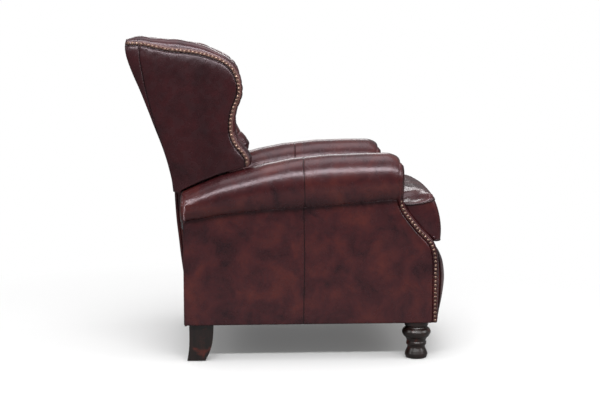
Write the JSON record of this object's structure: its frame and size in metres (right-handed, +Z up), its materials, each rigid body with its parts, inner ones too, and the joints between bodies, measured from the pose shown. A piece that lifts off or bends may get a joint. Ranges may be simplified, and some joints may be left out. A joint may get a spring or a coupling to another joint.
{
  "type": "wingback recliner",
  "caption": "High-leg wingback recliner in oxblood leather with rolled arms, nailed edges, a tufted reclining back and a scissor footrest.",
  "frame": {"origin": "on the floor, under the middle of the chair's box", "axes": "+Z up, the sitter faces -Y, the sitter's left is +X"},
  "size_m": [0.776, 1.0542, 1.0501],
  "materials": {
    "leather_outer": "semi-gloss mottled oxblood leather",
    "leather_inner": "semi-gloss mottled oxblood leather over foam",
    "nail_brass": "antique brass",
    "leg_wood": "espresso stain with worn red edges",
    "frame_wood": "bare hardwood and plywood",
    "steel": "zinc plated",
    "nylon": "moulded nylon",
    "deck_fabric": "dark woven decking",
    "webbing": "woven elastic webbing"
  },
  "bodies": {
    "base": {"side_panel_right": "frame_wood", "side_panel_left": "frame_wood", "inner_arm_panel_right": "frame_wood", "inner_arm_panel_left": "frame_wood", "arm_roll_right": "leather_outer", "arm_roll_left": "leather_outer", "inner_arm_pad_right": "leather_outer", "inner_arm_pad_left": "leather_outer", "side_cover_right": "leather_outer", "side_cover_left": "leather_outer", "arm_front_right": "leather_outer", "arm_front_left": "leather_outer", "arm_nails": "nail_brass", "corner_blocks": "frame_wood", "rear_rail": "frame_wood", "rear_cover": "leather_outer", "arm_back_covers": "leather_outer", "front_stretcher": "frame_wood", "front_leg_right": "leg_wood", "front_leg_left": "leg_wood", "rear_leg_right": "leg_wood", "rear_leg_left": "leg_wood", "leg_bolts": "steel", "leg_glides": "steel", "seat_tracks": "steel"},
    "seat": {"seat_plate_right": "steel", "seat_plate_left": "steel", "slide_blocks": "nylon", "seat_side_rails": "frame_wood", "seat_front_rail": "leather_outer", "seat_rear_rail": "frame_wood", "seat_springs": "steel", "seat_deck": "deck_fabric", "seat_cushion": "leather_inner", "back_pivot_pins": "steel", "link_pivot_pins": "steel"},
    "back": {"back_stile_right": "frame_wood", "back_stile_left": "frame_wood", "back_top_rail": "frame_wood", "back_middle_rails": "frame_wood", "back_lower_rail": "frame_wood", "back_webbing": "webbing", "back_brackets": "steel", "wing_core_right": "frame_wood", "wing_core_left": "frame_wood", "wing_cover_right": "leather_outer", "wing_cover_left": "leather_outer", "wing_pad_right": "leather_inner", "wing_pad_left": "leather_inner", "wing_nails_right": "nail_brass", "wing_nails_left": "nail_brass", "back_pad": "leather_inner", "tuft_buttons": "leather_inner", "outside_back": "leather_outer"},
    "link_lift": {"lift_links": "steel"},
    "link_cross": {"cross_links": "steel"},
    "link_short": {"short_links": "steel"},
    "footrest": {"footrest_links": "steel", "footrest_board": "frame_wood", "footrest_pad": "leather_inner"}
  },
  "joints": [
    {"name": "seat_slide", "type": "slide", "parent": "base", "child": "seat", "axis": [0, -0.9903, 0.1392], "range_m": [0, 0.0451]},
    {"name": "back_recline", "type": "hinge", "parent": "seat", "child": "back", "pos_m": [0, 0.335, 0.435], "axis": [-1, 0, 0], "range_deg": [0, 30]},
    {"name": "footrest_open", "type": "hinge", "parent": "seat", "child": "link_lift", "pos_m": [0, -0.4, 0.135], "axis": [1, 0, 0], "range_deg": [0, 48.44]},
    {"name": "cross_link_turn", "type": "hinge", "parent": "link_lift", "child": "link_cross", "pos_m": [0, -0.4, 0.25], "axis": [-1, 0, 0], "range_deg": [0, 138.45]},
    {"name": "footrest_turn", "type": "hinge", "parent": "link_lift", "child": "footrest", "pos_m": [0, -0.4, 0.365], "axis": [-1, 0, 0], "range_deg": [0, 138.45]},
    {"name": "short_link_turn", "type": "hinge", "parent": "link_cross", "child": "link_short", "pos_m": [0, -0.41997, 0.13675], "axis": [1, 0, 0], "range_deg": [0, 138.45]}
  ],
  "couplings": [
    {"joint": "seat_slide", "follows": "back_recline", "m_per_rad": 0.085944},
    {"joint": "cross_link_turn", "follows": "footrest_open", "ratio": 2.8571},
    {"joint": "footrest_turn", "follows": "footrest_open", "ratio": 2.8571},
    {"joint": "short_link_turn", "follows": "footrest_open", "ratio": 2.8571}
  ]
}
